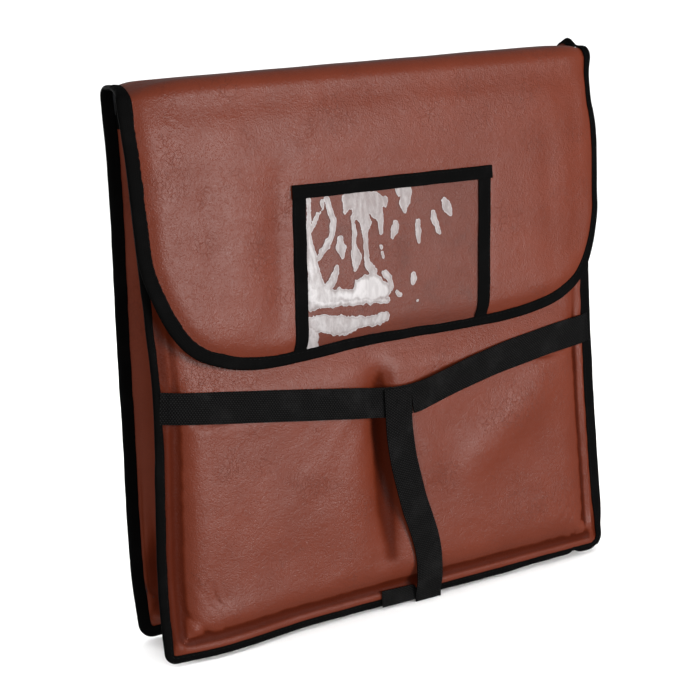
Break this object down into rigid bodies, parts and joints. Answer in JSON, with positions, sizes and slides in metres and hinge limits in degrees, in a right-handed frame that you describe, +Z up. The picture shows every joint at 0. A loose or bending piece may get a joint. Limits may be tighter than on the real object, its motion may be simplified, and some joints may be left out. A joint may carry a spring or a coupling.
{
  "type": "pizza delivery bag",
  "caption": "Slim insulated pizza delivery bag standing upright, with bound padded panels, a fold-over flap with a clear ticket window, a pleated gusset and a T-shaped webbing hand strap.",
  "frame": {"origin": "on the floor under the middle of the bag: the centre of the bounding box's bottom face", "axes": "+Z up, +X to the right seen from the front, +Y from the front (flap, window and hand strap) to the back"},
  "size_m": [0.45, 0.0866, 0.474],
  "materials": {
    "cover_vinyl": "satin",
    "insulation_foam": "matte",
    "lining_fabric": "satin",
    "binding_tape": "matte",
    "webbing": "matte",
    "window_film": "gloss",
    "hook_and_loop": "matte"
  },
  "bodies": {
    "shell": {"back_panel_cover": "cover_vinyl", "back_panel_insulation": "insulation_foam", "back_panel_lining": "lining_fabric", "back_panel_binding": "binding_tape", "gusset_cover": "cover_vinyl", "gusset_lining": "lining_fabric", "gusset_mouth_binding_left": "binding_tape", "gusset_mouth_binding_right": "binding_tape"},
    "front_panel": {"front_panel_cover": "cover_vinyl", "front_panel_insulation": "insulation_foam", "front_panel_lining": "lining_fabric", "front_panel_binding": "binding_tape", "front_mouth_binding": "binding_tape", "loop_strip_left": "hook_and_loop", "loop_strip_right": "hook_and_loop", "strap_anchor_tab": "webbing"},
    "flap_top": {"flap_top_cover": "cover_vinyl", "flap_top_insulation": "insulation_foam", "flap_top_lining": "lining_fabric", "flap_top_binding_left": "binding_tape", "flap_top_binding_right": "binding_tape"},
    "flap": {"flap_cover": "cover_vinyl", "flap_insulation": "insulation_foam", "flap_lining": "lining_fabric", "flap_binding": "binding_tape", "hook_strip_left": "hook_and_loop", "hook_strip_right": "hook_and_loop", "window_film": "window_film", "pocket_binding_top": "binding_tape", "pocket_binding_left": "binding_tape", "pocket_binding_right": "binding_tape"},
    "hand_strap": {"handle_strap": "webbing", "brace_strap": "webbing"}
  },
  "joints": [
    {"name": "gusset_fold", "type": "slide", "parent": "shell", "child": "front_panel", "axis": [0, -1, 0], "range_m": [-0.024, 0], "deforming": ["gusset_cover", "gusset_lining", "gusset_mouth_binding_left", "gusset_mouth_binding_right"]},
    {"name": "flap_back_crease", "type": "hinge", "parent": "shell", "child": "flap_top", "pos_m": [0, 0.01345, 0.47135], "axis": [-1, 0, 0], "range_deg": [0, 178]},
    {"name": "flap_front_crease", "type": "hinge", "parent": "flap_top", "child": "flap", "pos_m": [0, -0.0329, 0.47135], "axis": [-1, 0, 0], "range_deg": [0, 178]},
    {"name": "hand_strap_lift", "type": "hinge", "parent": "front_panel", "child": "hand_strap", "pos_m": [0, -0.02845, 0.231], "axis": [-1, 0, 0], "range_deg": [0, 22], "deforming": ["brace_strap"]}
  ]
}
